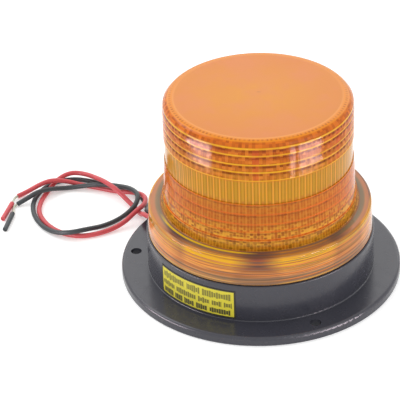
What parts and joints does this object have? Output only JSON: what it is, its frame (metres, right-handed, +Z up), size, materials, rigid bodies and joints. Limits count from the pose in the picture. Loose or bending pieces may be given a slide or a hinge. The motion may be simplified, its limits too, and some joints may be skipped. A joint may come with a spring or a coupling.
{
  "type": "strobe beacon",
  "caption": "Round amber strobe warning beacon with a ridged screw-on lens, a dark flanged base with bolt holes, and two loose supply leads.",
  "frame": {"origin": "centre of the flange underside, on the mounting surface", "axes": "+Z up along the axis of the lens and the base; the bolt holes are at 60, 180 and 300 degrees from +X; the leads leave at 156 degrees"},
  "size_m": [0.2475, 0.1703, 0.115],
  "materials": {
    "amber_lens": "glossy transparent amber polycarbonate",
    "base_plastic": "satin charcoal moulded plastic",
    "black_insulation": "satin black vinyl insulation",
    "black_plastic": "black moulded plastic",
    "board": "green fibreglass laminate",
    "capacitor_sleeve": "dark blue shrink sleeve",
    "chip_epoxy": "black epoxy",
    "copper_winding": "enamelled copper wire",
    "ferrite": "dark grey ferrite",
    "film_capacitor": "dipped red-brown coating",
    "gasket_rubber": "matte black rubber",
    "grommet_rubber": "matte black rubber",
    "label": "yellow printed vinyl label",
    "lead_white": "white insulated hook-up lead",
    "pin_metal": "nickel-plated metal",
    "red_insulation": "satin red vinyl insulation",
    "resistor_body": "tan lacquer",
    "screw_steel": "zinc-plated steel",
    "sink_aluminium": "extruded aluminium",
    "solder": "bright solder",
    "spacer_brass": "turned brass",
    "tinned_strands": "tinned copper strands",
    "tube_glass": "clear glass",
    "white_plastic": "white moulded plastic"
  },
  "bodies": {
    "base": {"base_housing": "base_plastic", "warning_label": "label", "cable_grommet": "grommet_rubber", "circuit_board": "board", "board_screws": "screw_steel", "cover_spacers": "spacer_brass", "reflector_disc": "white_plastic", "reflector_screws": "screw_steel", "tube_socket": "black_plastic", "tube_base": "black_plastic", "tube_pins": "pin_metal", "flash_tube": "tube_glass", "tube_electrodes": "pin_metal", "trigger_wire": "pin_metal", "socket_leads": "lead_white", "storage_capacitor": "capacitor_sleeve", "filter_capacitors": "capacitor_sleeve", "film_capacitors": "film_capacitor", "transformer_core": "ferrite", "transformer_winding": "copper_winding", "trigger_coil": "black_plastic", "heat_sink": "sink_aluminium", "power_transistor": "chip_epoxy", "transistor_screw": "screw_steel", "diodes": "chip_epoxy", "resistors": "resistor_body", "timer_chip": "chip_epoxy", "fuse": "tube_glass", "fuse_clips": "pin_metal", "red_lead_inside": "red_insulation", "black_lead_inside": "black_insulation", "solder_joints": "solder", "red_wire": "red_insulation", "black_wire": "black_insulation", "red_wire_strands": "tinned_strands", "black_wire_strands": "tinned_strands", "red_wire_slug": "red_insulation", "black_wire_slug": "black_insulation"},
    "lens_gasket": {"lens_gasket": "gasket_rubber"},
    "lens": {"lens": "amber_lens"}
  },
  "joints": [
    {"name": "lens_rise", "type": "slide", "parent": "base", "child": "lens_gasket", "axis": [0, 0, 1], "range_m": [0, 0.01]},
    {"name": "lens_turn", "type": "hinge", "parent": "lens_gasket", "child": "lens", "pos_m": [0, 0, 0.04], "axis": [0, 0, 1], "range_deg": [0, 900]}
  ],
  "couplings": [
    {"joint": "lens_rise", "follows": "lens_turn", "m_per_rad": 0.00063662}
  ]
}
